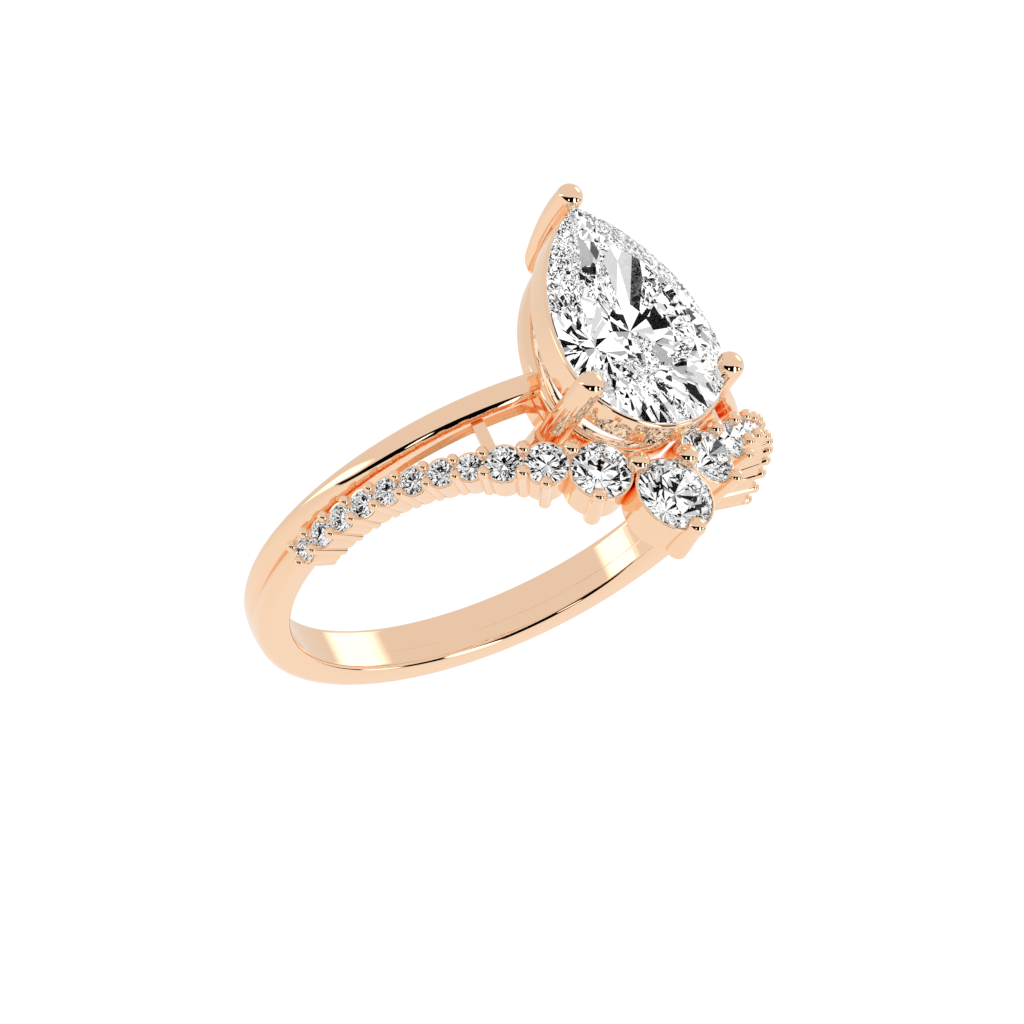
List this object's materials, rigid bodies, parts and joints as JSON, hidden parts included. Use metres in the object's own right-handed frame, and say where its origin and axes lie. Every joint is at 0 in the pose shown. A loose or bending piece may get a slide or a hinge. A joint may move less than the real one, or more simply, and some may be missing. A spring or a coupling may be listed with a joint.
{
  "type": "engagement ring",
  "caption": "Rose gold engagement ring: a pear-cut diamond in a three-prong basket over a plain band, fused to a tiara of graduated round diamonds.",
  "frame": {"origin": "centre of the finger hole, in the middle of its wall's width", "axes": "+Z from the finger's middle up through the pear diamond, +Y along the finger towards the back of the ring and the pear's tip, -Y towards the tiara"},
  "size_m": [0.0202, 0.0139, 0.022],
  "materials": {
    "rose_gold": "mirror-polished 14 to 18 carat rose gold",
    "diamond": "faceted and polished, colourless"
  },
  "bodies": {
    "root": {"main_shank": "rose_gold", "front_band": "rose_gold", "pear_diamond": "diamond", "upper_gallery_rail": "rose_gold", "lower_gallery_rail": "rose_gold", "tip_prong": "rose_gold", "left_prong": "rose_gold", "right_prong": "rose_gold", "left_prong_foot": "rose_gold", "right_prong_foot": "rose_gold", "left_bridge_bar": "rose_gold", "right_bridge_bar": "rose_gold", "centre_collet": "rose_gold", "left_collet_1": "rose_gold", "left_collet_2": "rose_gold", "left_collet_3": "rose_gold", "right_collet_1": "rose_gold", "right_collet_2": "rose_gold", "right_collet_3": "rose_gold", "left_pave_bed": "rose_gold", "right_pave_bed": "rose_gold", "centre_claw": "rose_gold", "left_claws": "rose_gold", "right_claws": "rose_gold", "left_rear_beads": "rose_gold", "right_rear_beads": "rose_gold", "left_front_beads": "rose_gold", "right_front_beads": "rose_gold", "centre_accent": "diamond", "left_accent_1": "diamond", "left_accent_2": "diamond", "left_accent_3": "diamond", "left_accent_4": "diamond", "left_accent_5": "diamond", "left_accent_6": "diamond", "left_accent_7": "diamond", "left_accent_8": "diamond", "left_accent_9": "diamond", "left_accent_10": "diamond", "left_accent_11": "diamond", "right_accent_1": "diamond", "right_accent_2": "diamond", "right_accent_3": "diamond", "right_accent_4": "diamond", "right_accent_5": "diamond", "right_accent_6": "diamond", "right_accent_7": "diamond", "right_accent_8": "diamond", "right_accent_9": "diamond", "right_accent_10": "diamond", "right_accent_11": "diamond"}
  },
  "joints": []
}
